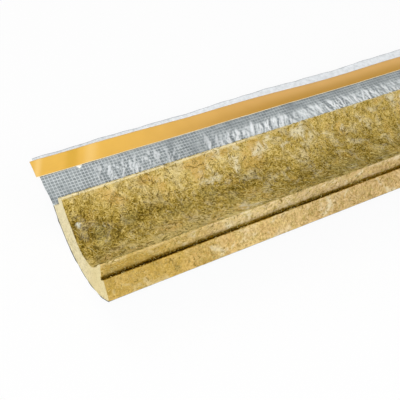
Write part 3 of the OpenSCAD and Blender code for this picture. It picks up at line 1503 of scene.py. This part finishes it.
@dataclass
class FoilFacing:
    """The facing: a skin on the wool's back that runs on into the closing lap."""

    lap: Lap
    columns: int = 600  # Steps along the length
    skin_rows: int = 26  # Steps round the wool's back
    lap_rows: int = 46  # Steps out along the lap
    thickness: float = 0.0004  # Thickness of the sheet
    lap_w: float = 0.0916  # Width of the flat sheet past the wool's far edge
    overhang: float = 0.0006  # How far the sheet's cut ends stand out past the wool, on average
    ragged: float = 0.0009  # How far they waver
    shifted: float = 0.0035  # How far along X a crease's lee side, for its painted shadow, is looked for

    def grid(self) -> tuple[Array, Array]:
        """The sheet's outer face, from the near edge round the back and out along the lap.

        Returns:
            Its points and its flat map, shapes (rows, columns, 3) and (rows, columns, 2).
        """
        ring, lap = self.lap.ring, self.lap
        x = ring.along(self.columns)
        share = np.linspace(0.0, 1.0, self.skin_rows + 1)[:, None]
        skin = ring.at(ring.foil_r, ring.near + (ring.far - ring.near) * share)
        skin = stacked(x, skin[..., 0], skin[..., 1])
        out = np.linspace(0.0, 1.0, self.lap_rows + 1)[1:, None] * lap.free_edge(x)
        points = np.concatenate([skin, lap.points(x, out)])
        across = np.concatenate([np.broadcast_to(share * ring.arc, skin.shape[:2]), ring.arc + out])
        flat = stacked(x, across)
        ends = stacked(flat[:, [0, -1], 0], flat[:, [0, -1], 1], 0.0)
        waver = self.ragged * blobs(ends, 0.018, 71, 3)
        flat[:, [0, -1], 0] += waver + np.array([-self.overhang, self.overhang])
        points[:, [0, -1], 0] = flat[:, [0, -1], 0]
        return self.flared(points), flat

    def flared(self, points: Array) -> Array:
        """Points of the skin moved outwards near both ends, where it has come loose in waves.

        They move by 0.6 mm times a wave, fading over 20 mm, and not where the skin bears on
        the floor.

        Args:
            points: Shape (rows, columns, 3).

        Returns:
            The moved points.
        """
        ring = self.lap.ring
        angle, radius = ring.polar(points)
        end = np.minimum(points[..., 0] - ring.start, ring.stop - points[..., 0])
        loose = (1.0 - smoothstep(0.0, 0.020, end)) * smoothstep(0.10, 0.28, np.abs(angle))
        loose = loose * (radius < ring.foil_r + 0.0001) * smoothstep(0.74, 0.64, angle)
        return ring.outwards(points, loose * (0.0006 * (0.3 + 0.7 * blobs(points, 0.016, 77))))

    def tones(self, x: Array, w: Array) -> dict[str, Array]:
        """Where the lap is crumpled, its painted light and shade, and where its margin lies.

        Small folds fill its inner half, but for the first 5 cm and around x = -0.26. The painted
        light is lower by the wool at first, lower around there, then higher inside and lower
        outside, and it rises and falls with buckles that run straight across. The margin is 1
        past the liner, and 2 on the last millimetre.

        Args:
            x: Where each point lies along it.
            w: How far out on the lap.

        Returns:
            Numbers for each point, by name.
        """
        calm = hill(-0.262, 0.032, x)
        reach = 0.048 - 0.008 * smoothstep(-0.24, -0.16, x)
        loose = smoothstep(0.001, 0.008, w) * smoothstep(reach, reach - 0.018, w)
        loose = loose * smoothstep(-0.44, -0.40, x) * (1.0 - 0.8 * calm)
        loose = loose * (0.8 + 0.3 * smoothstep(-0.26, -0.22, x))
        spot = stacked(x - 0.2 * w, w, 0.0)
        loose = loose * (0.75 + 0.5 * blobs(spot, (0.030, 0.050, 1.0), 61))
        level = 0.38 * blobs(spot, (0.013, 0.14, 1.0), 63) - 0.55 * calm
        level = level - 0.5 * smoothstep(0.020, 0.008, w) * smoothstep(-0.33, -0.40, x)
        level = level - 0.25 * smoothstep(-0.37, -0.43, x)
        level = level + smoothstep(-0.24, -0.18, x) * (0.9 * smoothstep(0.038, 0.026, w) - 0.35)
        margin = smoothstep(0.0745, 0.0765, w)
        margin = margin + smoothstep(-0.0016, -0.0006, w - self.lap.free_edge(x))
        named = {"loose": loose, "level": level, "margin": margin}
        return {name: values * (w > 0.0005) for name, values in named.items()}

    def build(self) -> bpy.types.Object:
        """Returns:
            The piece.
        """
        ring = self.lap.ring
        points, flat = self.grid()
        x, w = flat[..., 0].ravel(), flat[..., 1].ravel() - ring.arc
        spots = (x, x - self.shifted)
        creases, beside = (self.lap.crease_height(spot[None], w[None])[0] for spot in spots)
        # Painted highlight on the creases' crests and painted shadow on their lee sides.
        crumple = (creases - np.clip(beside - creases, 0.0, None)) / 0.0016
        finish = FoilFinish(ring.start, ring.arc).material()
        dress = Dress(finish, "scrim_foil", "foil_facing", sharp=40.0)
        numbers = {"crumple": crumple, **self.tones(x, w)}
        piece = make_sheet("foil_sheet", (points, flat), self.thickness, numbers, dress)
        wide = ring.arc + self.lap_w
        ring.stop - ring.start
        return piece


@dataclass
class LapStrip:
    """A strip along the lap: the adhesive band or the liner over it."""

    name: str
    lap: Lap  # The lap that it lies on
    inset: float  # How far inside the liner's sides it lies
    width: float
    lift: float  # How far its underside lies over the lap
    tab: float = 0.0  # How far it hangs past the near end
    buckle: float = 0.0  # How far its surface rises and falls
    thickness: float = 0.0003
    columns: int = 400  # Steps along the length
    rows: int = 14  # Steps across

    def grid(self) -> tuple[Array, Array]:
        """The strip's underside: the lap's face, raised, with long shallow waves.

        Returns:
            Its points and its flat map, shapes (rows, columns, 3) and (rows, columns, 2).
        """
        x = self.lap.ring.along(self.columns, self.tab)
        across = np.linspace(0.0, self.width, self.rows + 1)[:, None]
        w = self.lap.band_start(x) + self.inset + across
        points = self.lap.points(x, w, self.lift, 0.0)
        flat = stacked(x, across + self.inset)
        waves = 0.5 + 0.5 * blobs(stacked(flat[..., 0], flat[..., 1], 0.0), (0.03, 0.05, 1.0), 83)
        points[..., 2] += self.buckle * (waves + 1.2 * np.clip(self.wave(flat), 0.0, 1.0))
        return points, flat

    def wave(self, flat: Array) -> Array:
        """Two bulges and a trough that run slanting across the strip near its free end.

        Each is a hill over the distance along X from its slanting line.

        Args:
            flat: Places on the strip laid flat, shape (..., 2).

        Returns:
            Heights from -1 to 1, shape (...).
        """
        along = flat[..., 0] - self.lap.ring.start - 0.5 * flat[..., 1]
        marks = ((-0.006, 0.006, 0.9), (0.047, 0.011, -1.0), (0.077, 0.013, 0.7))
        return sum(height * hill(x, width, along) for x, width, height in marks)

    def build(self, dress: Dress, rests_on: str) -> bpy.types.Object:
        """Args:
            dress: Its material and node; its slot is not used.
            rests_on: The piece that it lies on; not used.

        Returns:
            The piece.
        """
        grid = self.grid()
        numbers = {"wave": self.wave(grid[1]).ravel()}
        piece = make_sheet(self.name, grid, self.thickness, numbers, dress)
        long = self.lap.ring.stop - self.lap.ring.start + self.tab
        return piece


# --------------------------------------------------------------------------- the stage


@dataclass(frozen=True)
class Studio:
    """The camera, the pale floor and the soft lamps."""

    eye: Place = (-0.735751, -0.592810, 0.831266)  # Where the camera is
    elevation: float = 0.839446  # How far it looks down, in radians
    azimuth: float = 0.657374  # Which way it looks, from +Y towards +X
    roll: float = -0.186281  # How far it is rolled about its line
    focal: float = 724.36  # Its focal length, where the picture is as wide as the next value
    picture: int = 400  # Width of the picture
    sensor: float = 36.0  # Width of its sensor, in millimetres
    floor_side: float = 60.0  # Half the floor's side

    def camera(self) -> None:
        """Places the camera: it looks along azimuth and elevation, rolled about its line."""
        e, a, r = self.elevation, self.azimuth, self.roll
        ahead = np.array([math.sin(a) * math.cos(e), math.cos(a) * math.cos(e), -math.sin(e)])
        right = np.array([math.cos(a), -math.sin(a), 0.0])
        down = np.cross(ahead, right)
        across = math.cos(r) * right + math.sin(r) * down
        below = -math.sin(r) * right + math.cos(r) * down
        data = bpy.data.cameras.new("camera")
        data.sensor_width = self.sensor
        data.lens = self.focal / self.picture * self.sensor
        data.clip_start, data.clip_end = 0.05, 200.0
        bpy.context.scene.camera = add_object("camera", data, across, -below, -ahead, self.eye)

    def lamp(self, name: str, place: Place, size: float, power: float) -> None:
        """Adds a square soft lamp that faces the middle of the object.

        Args:
            name: Its name.
            place: Where it hangs.
            size: Its side, in metres.
            power: Its power, in watts.
        """
        data = bpy.data.lights.new(name, "AREA")
        data.shape, data.size, data.energy = "SQUARE", size, power
        back = unit(np.array(place))
        side = unit(np.cross([0.0, 0.0, 1.0], back))
        add_object(name, data, side, np.cross(back, side), back, place)

    def floor(self) -> None:
        """Adds the floor: white to the camera, with the object's faint shadow on it."""
        mesh = bpy.data.meshes.new("floor")
        side = self.floor_side
        corners = [(-side, -side, 0), (side, -side, 0), (side, side, 0), (-side, side, 0)]
        mesh.from_pydata(corners, [], [(0, 1, 2, 3)])
        shader = Shader("floor")
        plain = shader.node("BsdfDiffuse", sockets={"Color": (0.86, 0.86, 0.86)})
        glow = shader.node("Emission", sockets={"Color": WHITE, "Strength": 1.0})
        both = shader.node("MixShader", sockets={0: shader.seen() * 0.90, 1: plain, 2: glow})
        mesh.materials.append(shader.ended(both))
        add_object("floor", mesh)

    def world(self) -> None:
        """Lights the world: bright walls, a dimmer ceiling, and white to the camera."""
        shader = Shader("world", "World")
        height = shader.axis(shader.node("TexCoord", output="Generated"), 2)
        soft = shader.ramp(height, (0.0, WHITE), (0.78, (0.9,) * 3), (0.92, (0.36,) * 3))
        seen = shader.seen()
        sockets = {"Color": shader.painted(soft, (seen, WHITE)), "Strength": 0.62 + seen * 0.38}
        bpy.context.scene.world = shader.ended(shader.node("Background", sockets=sockets))

    def build(self) -> None:
        """Sets the whole stage."""
        self.camera()
        self.floor()
        self.world()
        self.lamp("key", (-1.2, -1.6, 2.0), 1.2, 42.0)
        self.lamp("fill", (1.6, -1.2, 1.6), 1.6, 8.0)
        self.lamp("back", (-0.5, 2.0, 1.7), 1.4, 13.0)
        bpy.context.scene.view_settings.view_transform = "Standard"


def lap_creases() -> Array:
    """The creases of the lap: a few listed, the rest at random beyond them.

    Returns:
        Rows as Lap takes them.
    """
    by_hand = [
        (-0.4225, 0.2, 0.014, 0.034, 0.0035, 0.0010),
        (-0.414, 0.3, 0.026, 0.038, 0.0030, 0.0008),
        (-0.403, 0.25, 0.022, 0.046, 0.0050, 0.0009),
        (-0.401, 1.5, 0.007, 0.018, 0.0015, 0.0008),
        (-0.369, 0.3, 0.012, 0.022, 0.0040, 0.0012),
        (-0.3625, 0.3, 0.007, 0.028, 0.0042, 0.0018),
        (-0.347, 1.4, 0.007, 0.019, 0.0016, 0.0008),
        (-0.305, 0.1, 0.008, 0.040, 0.0035, 0.0009),
        (-0.238, 0.55, 0.008, 0.026, 0.0035, 0.0020),
        (-0.230, 0.6, 0.015, 0.030, 0.0022, 0.0011),
        (-0.226, 0.55, 0.022, 0.038, 0.0024, 0.0011),
        (-0.233, 1.6, 0.008, 0.030, 0.0045, 0.0012),
        (-0.214, 1.6, 0.014, 0.030, 0.0030, 0.0011),
        (-0.162, 0.25, 0.007, 0.024, 0.0032, 0.0018),
        (-0.153, 0.33, 0.010, 0.042, 0.0042, 0.0020),
        (-0.122, 0.5, 0.008, 0.020, 0.0026, 0.0012),
        (-0.109, 0.45, 0.006, 0.024, 0.0030, 0.0015),
        (-0.094, 0.25, 0.006, 0.044, 0.0045, 0.0013),
        (-0.0775, 0.3, 0.005, 0.026, 0.0028, 0.0018),
        (-0.021, 0.0, 0.014, 0.036, 0.0020, 0.0014),
        (0.012, 1.0, 0.008, 0.032, 0.0030, 0.0014),
        (0.038, 0.35, 0.008, 0.032, 0.0026, 0.0014),
        (0.062, 0.3, 0.008, 0.034, 0.0026, 0.0012),
    ]
    least = np.array([0.07, -0.15, 0.0, 0.016, 0.002, 0.0006])
    spread = np.array([0.43, 0.7, 0.010, 0.024, 0.002, 0.0014])
    draws = np.random.default_rng(5).uniform(0, 1, (40, 6))
    return np.concatenate([by_hand, least + spread * draws])


def main() -> None:
    """Builds the stage and the pieces, in order, and reports each."""
    Studio().build()
    ring = Ring.from_frame()
    wool = WoolSegment(ring)
    lap = Lap(ring, lap_creases())
    near, _, bore, _ = wool.lines()
    edge = run_of(near)[-1]
    tongue = edge + run_of(bore)[-1]
    # Along the section's line: the near edge's outer and inner strip, and the tongue's face.
    edges = [(0.001, 0.029), (0.042, edge - 0.001), (tongue + 0.001, tongue + 0.015)]
    in_bore = FibreLayer("bore_fibres", wool, count=6500, seed=3, spans=[(edge + 0.002, tongue - 0.002)])
    on_edges = FibreLayer(
        "edge_fibres",
        wool,
        count=3800,
        seed=4,
        spans=edges,
        length=(0.004, 0.009),
        lift=(0.0, 0.0008),
        tone=(0.22, 1.0),
    )
    # Fibres across the groove's upper side, darker than the rest: painted shade of the groove.
    in_groove = FibreLayer(
        "groove_fibres",
        wool,
        count=1100,
        seed=6,
        spans=[(0.0350, 0.0395)],
        length=(0.003, 0.006),
        radius=(0.00018, 0.00036),
        lift=(0.0001, 0.0010),
        lie=Lie.ACROSS,
        tone=(0.05, 0.65),
    )
    band = LapStrip("adhesive_film", lap, inset=0.0015, width=0.025, lift=0.0002)
    liner = LapStrip("liner_strip", lap, inset=0.0, width=0.028, lift=0.00055, tab=0.006, buckle=0.0005)
    tacky = Dress(AdhesiveFinish().material(), "adhesive", "adhesive_band", sharp=40.0)
    paper = Dress(LinerFinish(ring.start).material(), "liner_paper", "release_liner", sharp=40.0)
    pieces = [
        wool.build(),
        *(layer.build() for layer in (in_bore, on_edges, in_groove)),
        FoilFacing(lap).build(),
        band.build(tacky, "foil_sheet"),
        liner.build(paper, "adhesive_film"),
    ]
    for piece in pieces:
        mesh = piece.data
        log.info("%s: %d points, %d faces", piece.name, len(mesh.vertices), len(mesh.polygons))


if __name__ == "__main__":
    main()
